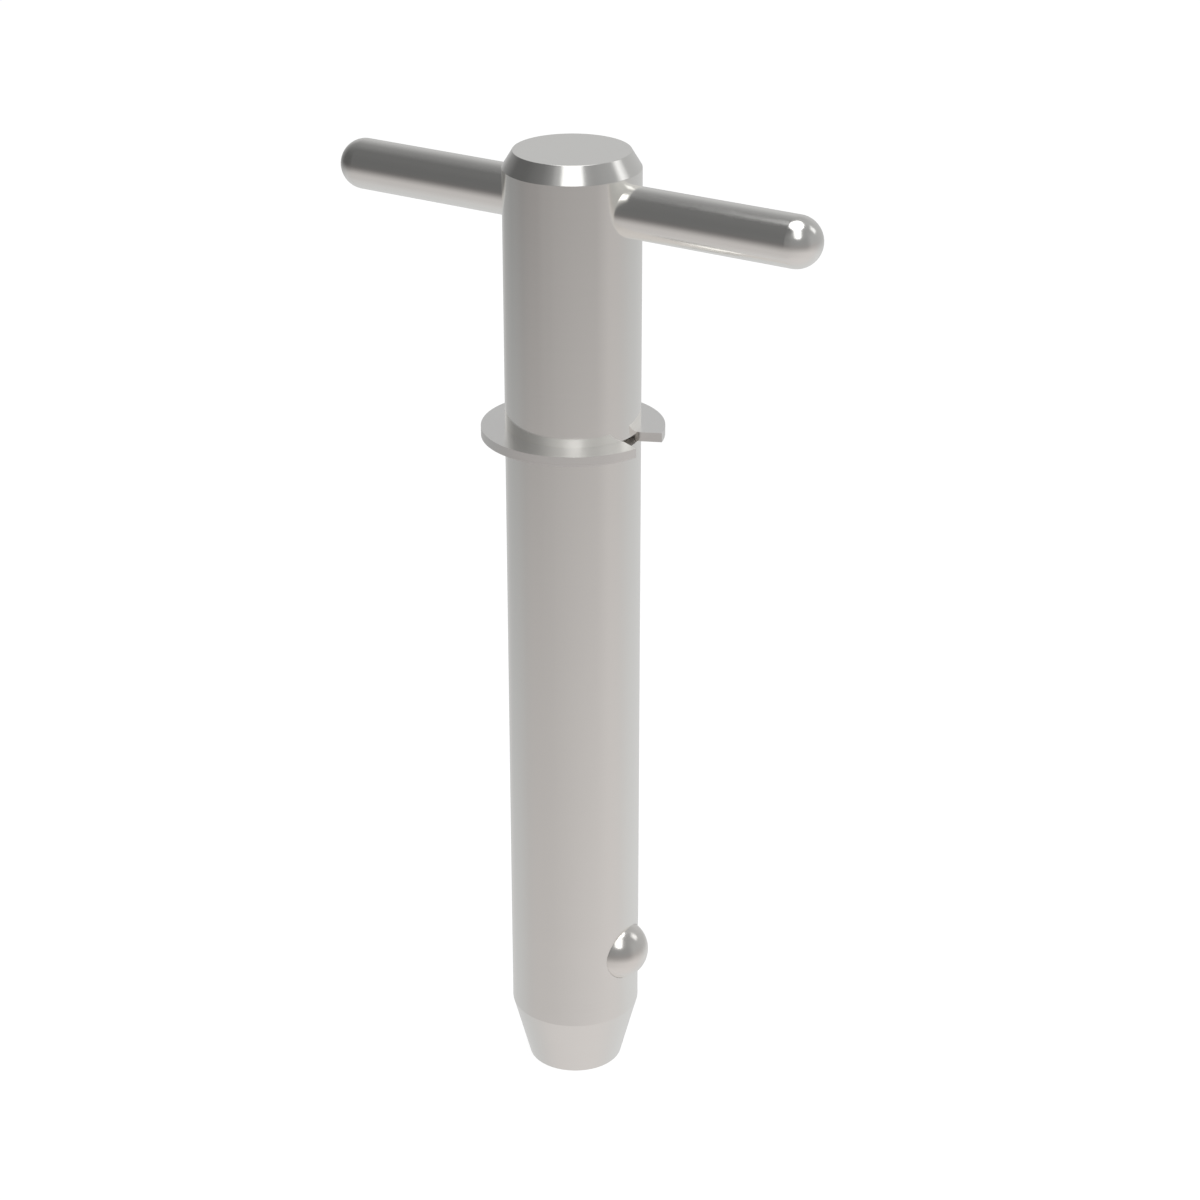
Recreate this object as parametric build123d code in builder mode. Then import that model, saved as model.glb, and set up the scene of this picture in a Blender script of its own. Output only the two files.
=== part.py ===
from build123d import *
import math
import os

# Locking pin: a turned shank with a cross handle, a snap-in retaining ring
# that acts as its shoulder, and one sprung detent ball near the tip.
# Row frame: +Z up the shank, origin at the middle of the tip's flat end,
# the handle, the ring's mouth and the ball all on the X axis.

# ---------------------------------------------------------------- dimensions
shank_r = 6.35            # half of the 12.7 mm shank
total_h = 94.60           # tip flat to head flat
head_bevel_h = 1.5875     # axial length of the head's bevel
head_flat_r = 5.38        # radius of the head's flat top
tip_cone_h = 6.40         # lead-in cone
tip_flat_r = 4.64         # radius of the flat end
grip_low_z = 16.10        # lower end of the straight grip, just above the ball
lead_r = 6.335            # radius above the tip cone: the nose is eased a hair
edge_r = 0.06             # broken edges of the tip and the head

groove_low_z = 67.485     # lower wall of the ring groove
groove_w = 0.896          # groove width: the ring's thickness and a hair
groove_r = 5.24           # radius of the groove's floor

bar_r = 2.38125           # half of the 4.76 mm handle bar
bar_half = 25.40          # handle's half length over its round ends
bar_z = total_h - 4.7625  # height of the handle's axis
press = 0.01              # radial interference of the bar in its hole

ring_r = 8.60             # outer radius of the retaining ring
ring_in_r = 5.25          # inner radius, snug on the groove's floor
ring_t = 0.893            # ring thickness
mouth_in = (4.763, 2.350)     # half mouth: corner at the inner edge
mouth_tip = (6.101, 1.279)    # half mouth: nose of the prong
mouth_out = (8.267, 2.266)    # half mouth: corner at the outer edge
nose_r = 0.80             # rounding of the prong's nose

ball_r = 2.9766           # half of the 15/64 in ball
ball_z = 13.31            # height of the ball's axis
ball_out = 1.765          # how far the ball stands out at rest
ball_x = shank_r + ball_out - ball_r
seat_gap = 0.02           # clearance of the ball in its staked seat
bore_r = 3.03             # ball and spring bore
bore_x0 = -2.00           # where the bore's straight wall ends, inside
drill_half = 59.0         # half angle of the drill point, degrees
seat_x1 = 6.60            # outer end of the spherical seat, past the surface

wire_r = 0.25             # spring wire
spring_r = 2.45           # mean radius of the spring
spring_x0 = -2.04         # first coil's centre, on the drill point's cone
spring_turns = 5.0

os.makedirs("parts", exist_ok=True)

# --------------------------------------------------------------------- shank
# one turned profile, revolved
profile = [
    (0, 0),
    (tip_flat_r, 0),
    (lead_r, tip_cone_h),
    (shank_r, grip_low_z),
    (shank_r, groove_low_z),
    (groove_r, groove_low_z),
    (groove_r, groove_low_z + groove_w),
    (shank_r, groove_low_z + groove_w),
    (shank_r, total_h - head_bevel_h),
    (head_flat_r, total_h),
    (0, total_h),
]

with BuildPart() as shank:
    with BuildSketch(Plane.XZ) as turned:
        with BuildLine():
            Polyline(*profile, close=True)
        make_face()
        # the edges of the tip and the head are broken; the groove's rims are
        # sharp, so that the ring sits against them without a visible gap
        corners = turned.vertices().filter_by(
            lambda v: v.X > 0.1
            and (v.Y < tip_cone_h + 1 or v.Y > total_h - head_bevel_h - 1)
        )
        fillet(corners, radius=edge_r)
    revolve(axis=Axis.Z)

    # through hole for the handle bar, a press fit on the bar
    with BuildSketch(Plane.YZ.offset(-2 * shank_r)):
        with Locations((0, bar_z)):
            Circle(bar_r - press)
    extrude(amount=4 * shank_r, mode=Mode.SUBTRACT)

    # ball and spring bore: drill point, straight wall, and the spherical seat
    # whose lip is staked over the ball at the shank's surface
    drill_x = bore_x0 - bore_r / math.tan(math.radians(drill_half))
    seat_r = ball_r + seat_gap
    seat_x0 = ball_x + 0.05
    seat_r1 = math.sqrt(seat_r**2 - (seat_x1 - ball_x) ** 2)
    seat_mid_x = (seat_x0 + seat_x1) / 2
    seat_r0 = math.sqrt(seat_r**2 - (seat_x0 - ball_x) ** 2)
    seat_rm = math.sqrt(seat_r**2 - (seat_mid_x - ball_x) ** 2)
    with BuildSketch(Plane.XZ.offset(0)):
        with BuildLine():
            Polyline(
                (drill_x, ball_z),
                (bore_x0, ball_z + bore_r),
                (seat_x0 - 0.15, ball_z + bore_r),
                (seat_x0, ball_z + seat_r0),
            )
            ThreePointArc(
                (seat_x0, ball_z + seat_r0),
                (seat_mid_x, ball_z + seat_rm),
                (seat_x1, ball_z + seat_r1),
            )
            Polyline(
                (seat_x1, ball_z + seat_r1),
                (shank_r + 1.0, ball_z + seat_r1),
                (shank_r + 1.0, ball_z),
                (drill_x, ball_z),
            )
        make_face()
    revolve(axis=Axis((0, 0, ball_z), (1, 0, 0)), mode=Mode.SUBTRACT)

shank.part.label = "shank"
export_step(shank.part, "parts/shank.step")

# ----------------------------------------------------------------- cross bar
# a straight rod with full round ends, pressed through the head
with BuildPart() as cross_bar:
    with BuildSketch(Plane.YZ.offset(-(bar_half - bar_r))):
        with Locations((0, bar_z)):
            Circle(bar_r)
    extrude(amount=2 * (bar_half - bar_r))
    with Locations((bar_half - bar_r, 0, bar_z), (-(bar_half - bar_r), 0, bar_z)):
        Sphere(bar_r)

cross_bar.part.label = "cross_bar"
export_step(cross_bar.part, "parts/cross_bar.step")

# ------------------------------------------------------------ retaining ring
# a flat stamped snap ring in the groove, lying on the groove's lower wall;
# its mouth faces +X and has a rounded nose on each prong
with BuildPart() as retaining_ring:
    with BuildSketch(Plane.XY.offset(groove_low_z)) as blank:
        Circle(ring_r)
        Circle(ring_in_r, mode=Mode.SUBTRACT)
        # mouth, drawn past both edges of the ring
        slope_in = (mouth_in[1] - mouth_tip[1]) / (mouth_in[0] - mouth_tip[0])
        slope_out = (mouth_out[1] - mouth_tip[1]) / (mouth_out[0] - mouth_tip[0])
        y_in = mouth_tip[1] + slope_in * (3.5 - mouth_tip[0])
        y_out = mouth_tip[1] + slope_out * (10.0 - mouth_tip[0])
        with BuildLine():
            Polyline(
                (3.5, y_in),
                mouth_tip,
                (10.0, y_out),
                (10.0, -y_out),
                (mouth_tip[0], -mouth_tip[1]),
                (3.5, -y_in),
                close=True,
            )
        make_face(mode=Mode.SUBTRACT)
        noses = blank.vertices().filter_by(
            lambda v: abs(v.X - mouth_tip[0]) < 1e-4
            and abs(abs(v.Y) - mouth_tip[1]) < 1e-4
        )
        fillet(noses, radius=nose_r)
    extrude(amount=ring_t)

retaining_ring.part.label = "retaining_ring"
export_step(retaining_ring.part, "parts/retaining_ring.step")

# --------------------------------------------------------------- detent ball
with BuildPart() as detent_ball:
    with Locations((ball_x, 0, ball_z)):
        Sphere(ball_r)

detent_ball.part.label = "detent_ball"
export_step(detent_ball.part, "parts/detent_ball.step")

# --------------------------------------------------------------- ball spring
# a small compression spring between the drill point and the ball's back
spring_x1 = ball_x - math.sqrt((ball_r + wire_r) ** 2 - spring_r**2) - 0.01
spring_len = spring_x1 - spring_x0
coil = Helix(
    pitch=spring_len / spring_turns,
    height=spring_len,
    radius=spring_r,
    center=(spring_x0, 0, ball_z),
    direction=(1, 0, 0),
)
with BuildPart() as ball_spring:
    with BuildSketch(Plane(origin=coil @ 0, z_dir=coil % 0)):
        Circle(wire_r)
    sweep(path=coil, is_frenet=True)

ball_spring.part.label = "ball_spring"
export_step(ball_spring.part, "parts/ball_spring.step")

for piece in (shank, cross_bar, retaining_ring, detent_ball, ball_spring):
    box = piece.part.bounding_box()
    print(piece.part.label, "valid", piece.part.is_valid, "solids",
          len(piece.part.solids()), "volume", round(piece.part.volume, 3),
          [round(v, 3) for v in (*box.min, *box.max)])
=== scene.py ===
import math

import bpy
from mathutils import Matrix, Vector


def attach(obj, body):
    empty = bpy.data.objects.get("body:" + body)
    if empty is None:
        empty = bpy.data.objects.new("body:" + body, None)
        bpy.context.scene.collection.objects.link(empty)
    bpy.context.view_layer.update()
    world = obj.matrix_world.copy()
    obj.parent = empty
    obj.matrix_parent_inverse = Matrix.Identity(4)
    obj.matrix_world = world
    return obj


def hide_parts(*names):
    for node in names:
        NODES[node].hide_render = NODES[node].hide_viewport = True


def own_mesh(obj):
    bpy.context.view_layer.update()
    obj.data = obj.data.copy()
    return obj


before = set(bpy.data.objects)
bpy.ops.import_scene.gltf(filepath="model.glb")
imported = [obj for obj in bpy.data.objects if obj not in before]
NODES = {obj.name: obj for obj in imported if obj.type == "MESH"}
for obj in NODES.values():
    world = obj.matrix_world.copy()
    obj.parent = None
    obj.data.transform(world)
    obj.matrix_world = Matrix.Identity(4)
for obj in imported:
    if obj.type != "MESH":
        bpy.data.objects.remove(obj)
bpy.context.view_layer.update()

SCENE = bpy.context.scene

# The camera's side of the object, as azimuths in degrees: 0 faces the camera,
# + is to its right. Everything in the studio is placed by these.
CAM_AZ = 32.77
# How bright the studio is: its tones below are those of a grey steel, and the
# object is a bright polished one.
ROOM = 0.585


def direction(azimuth, elevation):
    a, e = math.radians(CAM_AZ + azimuth), math.radians(elevation)
    return Vector((math.sin(a) * math.cos(e), -math.cos(a) * math.cos(e), math.sin(e)))


# ------------------------------------------------------------------- camera
cam_data = bpy.data.cameras.new("camera")
cam_data.lens = 86.892
cam_data.sensor_width = 36.0
cam_data.clip_start = 0.01
cam_data.clip_end = 50.0
camera = bpy.data.objects.new("camera", cam_data)
camera.location = (0.13677, -0.21247, 0.16476)
camera.rotation_mode = "QUATERNION"
camera.rotation_quaternion = Vector((-0.48544, 0.77084, -0.41252)).to_track_quat("-Z", "Y")
SCENE.collection.objects.link(camera)
SCENE.camera = camera

SCENE.view_settings.view_transform = "Standard"
SCENE.view_settings.look = "None"
SCENE.view_settings.exposure = 0.0
SCENE.view_settings.gamma = 1.0


# ------------------------------------------------------------- node helpers
class Tree:
    """Builds a node tree in plain calls."""

    def __init__(self, tree):
        self.t = tree
        tree.nodes.clear()

    def node(self, kind, **props):
        n = self.t.nodes.new(kind)
        for k, v in props.items():
            setattr(n, k, v)
        return n

    def put(self, socket, value):
        if isinstance(value, bpy.types.NodeSocket):
            self.t.links.new(value, socket)
        else:
            socket.default_value = value

    def math(self, op, a, b=None, c=None, clamp=False):
        n = self.node("ShaderNodeMath", operation=op, use_clamp=clamp)
        for i, v in enumerate((a, b, c)):
            if v is not None:
                self.put(n.inputs[i], v)
        return n.outputs[0]

    def vec(self, op, a, b=None, scale=None):
        n = self.node("ShaderNodeVectorMath", operation=op)
        self.put(n.inputs[0], a)
        if b is not None:
            self.put(n.inputs[1], b)
        if scale is not None:
            self.put(n.inputs["Scale"], scale)
        return n.outputs["Value"] if op in ("DOT_PRODUCT", "LENGTH") else n.outputs[0]

    def split(self, v):
        n = self.node("ShaderNodeSeparateXYZ")
        self.put(n.inputs[0], v)
        return n.outputs[0], n.outputs[1], n.outputs[2]

    def join(self, x, y, z):
        n = self.node("ShaderNodeCombineXYZ")
        for i, v in enumerate((x, y, z)):
            self.put(n.inputs[i], v)
        return n.outputs[0]

    def ramp(self, fac, stops, mode="LINEAR"):
        n = self.node("ShaderNodeValToRGB")
        n.color_ramp.interpolation = mode
        els = n.color_ramp.elements
        while len(els) < len(stops):
            els.new(0.5)
        for e, (pos, col) in zip(els, stops):
            e.position = pos
            e.color = (*col, 1.0) if isinstance(col, (tuple, list)) else (col, col, col, 1.0)
        self.put(n.inputs[0], fac)
        return n.outputs[0]

    def range(self, v, lo, hi, to_lo=0.0, to_hi=1.0, smooth=True):
        n = self.node("ShaderNodeMapRange", interpolation_type="SMOOTHSTEP" if smooth else "LINEAR")
        for i, x in enumerate((v, lo, hi, to_lo, to_hi)):
            self.put(n.inputs[i], x)
        return n.outputs[0]

    def mix(self, fac, a, b, how="MIX"):
        n = self.node("ShaderNodeMix", data_type="RGBA", blend_type=how)
        self.put(n.inputs[0], fac)
        self.put(n.inputs[6], a if isinstance(a, bpy.types.NodeSocket) else (*a, 1.0))
        self.put(n.inputs[7], b if isinstance(b, bpy.types.NodeSocket) else (*b, 1.0))
        return n.outputs[2]

    def blend(self, fac, a, b):
        """A number that goes from a to b as fac goes from 0 to 1."""
        n = self.node("ShaderNodeMix", data_type="FLOAT")
        self.put(n.inputs[0], fac)
        self.put(n.inputs[2], a)
        self.put(n.inputs[3], b)
        return n.outputs[0]

    def noise(self, vector, scale, detail=2.0, rough=0.5):
        n = self.node("ShaderNodeTexNoise")
        self.put(n.inputs["Vector"], vector)
        n.inputs["Scale"].default_value = scale
        n.inputs["Detail"].default_value = detail
        n.inputs["Roughness"].default_value = rough
        return n.outputs[0]


# -------------------------------------------------------------------- world
# A plain studio room as the metal sees it: dim on the left, light grey in
# front and on the right, pale behind the object, and a white sweep below that
# grows out of the walls. The camera itself only meets the white backdrop.
world = bpy.data.worlds.new("studio")
world.use_nodes = True
SCENE.world = world
w = Tree(world.node_tree)
coords = w.node("ShaderNodeTexCoord").outputs["Generated"]
_, _, up = w.split(coords)
towards = w.vec("DOT_PRODUCT", coords, tuple(direction(0, 0)))
rightwards = w.vec("DOT_PRODUCT", coords, tuple(direction(90, 0)))
around = w.math("ADD", w.math("DIVIDE", w.math("ARCTAN2", rightwards, towards), 2 * math.pi), 0.5)
height_deg = w.math("MULTIPLY", w.math("ARCSINE", up), 180 / math.pi)


def at(azimuth):
    return (azimuth + 180.0) / 360.0


walls = w.ramp(around, [
    (at(-180), 0.90), (at(-163), 0.78), (at(-146), 0.42), (at(-120), 0.185),
    (at(-90), 0.17), (at(-60), 0.25), (at(-48), 0.36), (at(-30), 0.44),
    (at(0), 0.47), (at(40), 0.48), (at(62), 0.65), (at(90), 0.67),
    (at(130), 0.76), (at(160), 0.88), (at(180), 0.90),
])
upper = w.ramp(around, [
    (at(-180), 0.60), (at(-150), 0.40), (at(-100), 0.23), (at(-60), 0.27),
    (at(-41), 0.40), (at(-34), 0.66), (at(0), 0.74), (at(25), 0.60),
    (at(45), 0.51), (at(85), 0.54), (at(120), 0.70), (at(180), 0.60),
])
behind = w.math("MAXIMUM", w.math("MULTIPLY", towards, -1.0), 0.0)
far_sweep = w.math("ADD", w.math("ADD", w.math("MULTIPLY", rightwards, 0.115), 0.95), w.math("MULTIPLY", behind, 0.18))
near_sweep = w.math("ADD", w.math("ADD", w.math("MULTIPLY", rightwards, 0.055), 1.03), w.math("MULTIPLY", behind, 0.05))
sweep = w.blend(w.range(height_deg, -42.0, -64.0), far_sweep, near_sweep)
room = w.mix(w.range(height_deg, 15.0, 52.0), walls, upper)
left = w.range(rightwards, -0.5, -0.95)
low = w.range(w.math("SUBTRACT", height_deg, w.math("MULTIPLY", left, 3.0)), -4.0, -38.0)
room = w.mix(low, room, w.join(sweep, sweep, sweep))
# the light that comes from the front and from below is a little warm
warm = w.math("MULTIPLY", w.range(height_deg, 12.0, -14.0), w.range(towards, -0.55, 0.35))
room = w.mix(1.0, room, w.mix(warm, (1.0, 1.0, 1.0), (1.045, 1.0, 0.985)), "MULTIPLY")
# in the corners, where one polished face shows another, the walls are paler
path = w.node("ShaderNodeLightPath")
corner = w.math("GREATER_THAN", path.outputs["Ray Depth"], 2.5)
corner = w.math("MULTIPLY", corner, w.math("SUBTRACT", 1.0, low))
paler = w.vec("ADD", w.vec("MULTIPLY", room, (1.33, 1.32, 1.30)), (0.09, 0.09, 0.09))
room = w.mix(corner, room, w.vec("MINIMUM", paler, (1.06, 1.05, 1.04)))
background = w.node("ShaderNodeBackground")
w.put(background.inputs[0], room)
background.inputs[1].default_value = ROOM
backdrop = w.node("ShaderNodeBackground")
backdrop.inputs[0].default_value = (1.0, 1.0, 1.0, 1.0)
seen = w.node("ShaderNodeMixShader")
w.put(seen.inputs[0], path.outputs["Is Camera Ray"])
w.put(seen.inputs[1], background.outputs[0])
w.put(seen.inputs[2], backdrop.outputs[0])
w.put(w.node("ShaderNodeOutputWorld").inputs[0], seen.outputs[0])


# ------------------------------------------------------------------- lights
CENTRE = Vector((0.0, 0.0, 0.05))


def softbox(name, azimuth, elevation, wide, high, radiance, distance=3.5, shape="RECTANGLE"):
    """An area light with the radiance that a mirror would show; wide and high are in degrees as seen from the object."""
    data = bpy.data.lights.new(name, "AREA")
    data.shape = shape
    data.size = 2 * distance * math.tan(math.radians(wide) / 2)
    data.size_y = 2 * distance * math.tan(math.radians(high) / 2)
    area = data.size * data.size_y * (math.pi / 4 if shape in ("DISK", "ELLIPSE") else 1.0)
    data.energy = ROOM * radiance * math.pi * area
    lamp = bpy.data.objects.new(name, data)
    lamp.location = CENTRE + direction(azimuth, elevation) * distance
    lamp.rotation_mode = "QUATERNION"
    lamp.rotation_quaternion = (CENTRE - lamp.location).to_track_quat("-Z", "Y")
    lamp.visible_camera = False
    SCENE.collection.objects.link(lamp)
    return lamp


softbox("overhead", 20, 87, 44, 44, 2.8, distance=0.40, shape="DISK")
softbox("front_box", 1.0, 49, 30.5, 36, 1.4)
softbox("front_strip", 3.0, 31, 17, 8, 1.2)
softbox("right_box", 101, 35, 20, 24, 0.55)
softbox("right_core", 101, 34, 12, 16, 0.55)

# -------------------------------------------------------------------- floor
# a white paper sweep; it lights itself a little, so that it stays white under
# the soft light, and its paper still takes the object's faint shadow
half = 4.0
floor_mesh = bpy.data.meshes.new("floor")
floor_mesh.from_pydata([(-half, -half, 0), (half, -half, 0), (half, half, 0), (-half, half, 0)], [], [(0, 1, 2, 3)])
floor = bpy.data.objects.new("floor", floor_mesh)
floor.location.z = -0.00002
floor.visible_glossy = False
SCENE.collection.objects.link(floor)
floor_mat = bpy.data.materials.new("floor_paper")
floor_mat.use_nodes = True
f = Tree(floor_mat.node_tree)
spot = f.node("ShaderNodeTexCoord").outputs["Object"]
paper = f.node("ShaderNodeBsdfDiffuse")
grain = f.noise(spot, 900.0, 3.0)
f.put(paper.inputs["Color"], f.mix(grain, (0.245, 0.245, 0.245), (0.255, 0.255, 0.255)))
light = f.node("ShaderNodeEmission")
light.inputs["Strength"].default_value = 0.92
both = f.node("ShaderNodeAddShader")
f.put(both.inputs[0], paper.outputs[0])
f.put(both.inputs[1], light.outputs[0])
f.put(f.node("ShaderNodeOutputMaterial").inputs[0], both.outputs[0])
floor_mesh.materials.append(floor_mat)


# ---------------------------------------------------------------- materials
def metal(name):
    """A steel material's tree with its shader and object coordinates in metres."""
    mat = bpy.data.materials.new(name)
    mat.use_nodes = True
    t = Tree(mat.node_tree)
    shader = t.node("ShaderNodeBsdfPrincipled")
    shader.inputs["Metallic"].default_value = 1.0
    out = t.node("ShaderNodeOutputMaterial")
    t.put(out.inputs[0], shader.outputs[0])
    pos = t.node("ShaderNodeTexCoord").outputs["Object"]
    return mat, t, shader, pos


def finish_metal(t, shader, colour, rough, height, distance, normal=None):
    t.put(shader.inputs["Base Color"], colour)
    t.put(shader.inputs["Roughness"], rough)
    bump = t.node("ShaderNodeBump")
    bump.inputs["Strength"].default_value = 1.0
    bump.inputs["Distance"].default_value = distance
    t.put(bump.inputs["Height"], height)
    if normal is not None:
        t.put(bump.inputs["Normal"], normal)
    t.put(shader.inputs["Normal"], bump.outputs[0])


def mottle(t, pos, size, detail=3.0):
    """A slow cloudy variation, centred on 0.5."""
    return t.noise(pos, 1.0 / size, detail, 0.55)


def scratches(t, pos, stretch, size, seed, sharp=0.06):
    """Sparse hairline scratches: thin ridges of a stretched noise. 1 on a scratch, else 0."""
    moved = t.vec("ADD", t.vec("MULTIPLY", pos, stretch), (seed, seed * 0.7, seed * 1.3))
    n = t.noise(moved, 1.0 / size, 1.0, 0.5)
    near = t.math("ABSOLUTE", t.math("SUBTRACT", n, 0.5))
    return t.range(near, 0.0, sharp * 0.1, 1.0, 0.0)


# Shank: turned and polished. Fine lathe lines run round it; the flat ends have
# facing rings. The straight part is a touch more satin than the head's bevel.
mat_shank, t, s, pos = metal("shank_steel")
x, y, z = t.split(pos)
radius = t.math("SQRT", t.math("ADD", t.math("MULTIPLY", x, x), t.math("MULTIPLY", y, y)))
normal = t.node("ShaderNodeNewGeometry").outputs["Normal"]
nx, ny, nz = t.split(normal)
flat = t.range(t.math("ABSOLUTE", nz), 0.90, 0.98)
along = t.math("ADD", t.math("MULTIPLY", z, t.math("SUBTRACT", 1.0, flat)), t.math("MULTIPLY", radius, flat))
lathe_pos = t.join(t.math("MULTIPLY", x, 40.0), t.math("MULTIPLY", y, 40.0), t.math("MULTIPLY", along, 9000.0))
lathe = t.noise(lathe_pos, 1.0, 2.0, 0.6)
coarse_pos = t.join(t.math("MULTIPLY", x, 25.0), t.math("MULTIPLY", y, 25.0), t.math("MULTIPLY", along, 1900.0))
coarse = t.noise(coarse_pos, 1.0, 1.0, 0.5)
cloud = mottle(t, pos, 0.012)
rub = scratches(t, pos, (1.0, 1.0, 0.22), 0.0022, 3.1)
bevel = t.range(z, 0.09285, 0.09300)
body_rough = t.math("ADD", 0.110, t.math("MULTIPLY", t.math("SUBTRACT", cloud, 0.5), 0.06))
body_rough = t.math("ADD", body_rough, t.math("MULTIPLY", t.math("SUBTRACT", lathe, 0.5), 0.05))
body_rough = t.math("ADD", body_rough, t.math("MULTIPLY", rub, 0.05))
head_rough = t.math("ADD", 0.165, t.math("MULTIPLY", t.math("SUBTRACT", lathe, 0.5), 0.05))
rough = t.blend(bevel, body_rough, head_rough)
# the cut groove, the bore and the cross hole are left unpolished, so rougher; their colour is also darkened there,
# which is painted shade in these recesses
recess_rough_and_shaded = t.math("MULTIPLY", t.math("LESS_THAN", radius, 0.00630), t.math("MULTIPLY", t.math("GREATER_THAN", z, 0.0070), t.math("LESS_THAN", z, 0.0930)))
rough = t.blend(recess_rough_and_shaded, rough, t.math("ADD", 0.50, t.math("MULTIPLY", lathe, 0.10)))
tone = t.math("ADD", t.math("MULTIPLY", cloud, 0.5), t.math("MULTIPLY", lathe, 0.5))
colour = t.mix(tone, (0.934, 0.924, 0.899), (0.990, 0.985, 0.956))
# painted shade: the steel's colour is made darker in the groove, the bore and the cross hole
colour = t.mix(recess_rough_and_shaded, colour, t.mix(tone, (0.84, 0.82, 0.79), (0.92, 0.90, 0.87)))
height = t.math("ADD", t.math("MULTIPLY", lathe, 0.22), t.math("MULTIPLY", coarse, 0.55))
height = t.math("SUBTRACT", height, t.math("MULTIPLY", rub, 0.5))
# the outside is turned, so its normal leads straight away from the axis; taken
# from the position, it has no step where the mesh's seam runs up the shank
level = t.math("SQRT", t.math("MAXIMUM", t.math("SUBTRACT", 1.0, t.math("MULTIPLY", nz, nz)), 0.0))
reach = t.math("DIVIDE", level, t.math("MAXIMUM", radius, 0.0001))
turned = t.join(t.math("MULTIPLY", x, reach), t.math("MULTIPLY", y, reach), nz)
normal = t.vec("ADD", t.vec("SCALE", turned, scale=t.math("SUBTRACT", 1.0, recess_rough_and_shaded)), t.vec("SCALE", normal, scale=recess_rough_and_shaded))
finish_metal(t, s, colour, rough, height, 1.0e-6, normal)

# Handle bar: drawn and polished rod with fine lines along X, and a few knocks from use.
mat_bar, t, s, pos = metal("bar_steel")
x, y, z = t.split(pos)
drawn = t.noise(t.join(t.math("MULTIPLY", x, 60.0), t.math("MULTIPLY", y, 7000.0), t.math("MULTIPLY", z, 7000.0)), 1.0, 2.0, 0.6)
cloud = mottle(t, pos, 0.006)
knock = scratches(t, pos, (0.35, 1.0, 1.0), 0.0020, 8.4)
rough = t.math("ADD", 0.170, t.math("MULTIPLY", t.math("SUBTRACT", cloud, 0.5), 0.06))
rough = t.math("ADD", rough, t.math("MULTIPLY", t.math("SUBTRACT", drawn, 0.5), 0.06))
rough = t.math("ADD", rough, t.math("MULTIPLY", knock, 0.04))
colour = t.mix(t.math("ADD", t.math("MULTIPLY", cloud, 0.6), t.math("MULTIPLY", drawn, 0.4)), (0.931, 0.922, 0.897), (0.990, 0.985, 0.958))
height = t.math("SUBTRACT", t.math("MULTIPLY", drawn, 0.16), t.math("MULTIPLY", knock, 0.4))
finish_metal(t, s, colour, rough, height, 1.0e-6)

# Ring: stamped spring steel with satin rolled faces, and a sheared edge with
# faint upright lines.
mat_ring, t, s, pos = metal("ring_steel")
x, y, z = t.split(pos)
nx, ny, nz = t.split(t.node("ShaderNodeNewGeometry").outputs["Normal"])
face = t.range(t.math("ABSOLUTE", nz), 0.6, 0.9)
rolled = t.noise(t.join(t.math("MULTIPLY", x, 6000.0), t.math("MULTIPLY", y, 90.0), t.math("MULTIPLY", z, 90.0)), 1.0, 2.0, 0.6)
sheared = t.noise(t.join(t.math("MULTIPLY", x, 4200.0), t.math("MULTIPLY", y, 4200.0), t.math("MULTIPLY", z, 160.0)), 1.0, 2.0, 0.6)
cloud = mottle(t, pos, 0.004)
face_rough = t.math("ADD", 0.27, t.math("MULTIPLY", rolled, 0.06))
side_rough = t.math("ADD", 0.31, t.math("MULTIPLY", sheared, 0.05))
rough = t.blend(face, side_rough, face_rough)
rough = t.math("ADD", rough, t.math("MULTIPLY", t.math("SUBTRACT", cloud, 0.5), 0.04))
colour = t.mix(cloud, (0.927, 0.919, 0.897), (0.985, 0.977, 0.955))
colour = t.mix(face, colour, t.mix(rolled, (0.960, 0.955, 0.940), (0.985, 0.980, 0.965)))
height = t.math("ADD", t.math("MULTIPLY", t.math("MULTIPLY", rolled, face), 0.10),
                t.math("MULTIPLY", t.math("MULTIPLY", sheared, t.math("SUBTRACT", 1.0, face)), 0.25))
finish_metal(t, s, colour, rough, height, 1.0e-6)

# Ball: ground and polished, with faint random hairlines.
mat_ball, t, s, pos = metal("ball_steel")
cloud = mottle(t, pos, 0.0016)
hair = t.math("MAXIMUM", scratches(t, pos, (1.0, 0.3, 1.0), 0.0013, 1.7, 0.04), scratches(t, pos, (0.5, 1.0, 0.4), 0.0011, 6.2, 0.04))
rough = t.math("ADD", 0.185, t.math("MULTIPLY", t.math("SUBTRACT", cloud, 0.5), 0.05))
rough = t.math("ADD", rough, t.math("MULTIPLY", hair, 0.05))
colour = t.mix(cloud, (0.965, 0.942, 0.908), (0.995, 0.978, 0.945))
height = t.math("SUBTRACT", t.math("MULTIPLY", cloud, 0.15), t.math("MULTIPLY", hair, 0.25))
finish_metal(t, s, colour, rough, height, 1.0e-6)

# Spring: drawn wire with a dull finish and drawing lines round its coils.
mat_spring, t, s, pos = metal("spring_steel")
x, y, z = t.split(pos)
wire = t.noise(t.join(t.math("MULTIPLY", x, 9000.0), t.math("MULTIPLY", y, 900.0), t.math("MULTIPLY", z, 900.0)), 1.0, 2.0, 0.6)
cloud = mottle(t, pos, 0.0012)
rough = t.math("ADD", 0.24, t.math("MULTIPLY", wire, 0.12))
colour = t.mix(cloud, (0.42, 0.41, 0.40), (0.50, 0.49, 0.475))
finish_metal(t, s, colour, rough, t.math("MULTIPLY", wire, 0.4), 1.0e-6)

for node, mat in (
    ("shank", mat_shank),
    ("cross_bar", mat_bar),
    ("retaining_ring", mat_ring),
    ("detent_ball", mat_ball),
    ("ball_spring", mat_spring),
):
    mesh = NODES[node].data
    mesh.materials.clear()
    mesh.materials.append(mat)

# The spring is drawn by a copy of the node's mesh in its own shape at rest, hung on the pin's body; the node itself is
# hidden.
coil = bpy.data.objects.new("ball_spring_coil", NODES["ball_spring"].data.copy())
SCENE.collection.objects.link(coil)
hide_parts("ball_spring")
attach(coil, "pin")
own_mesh(coil)
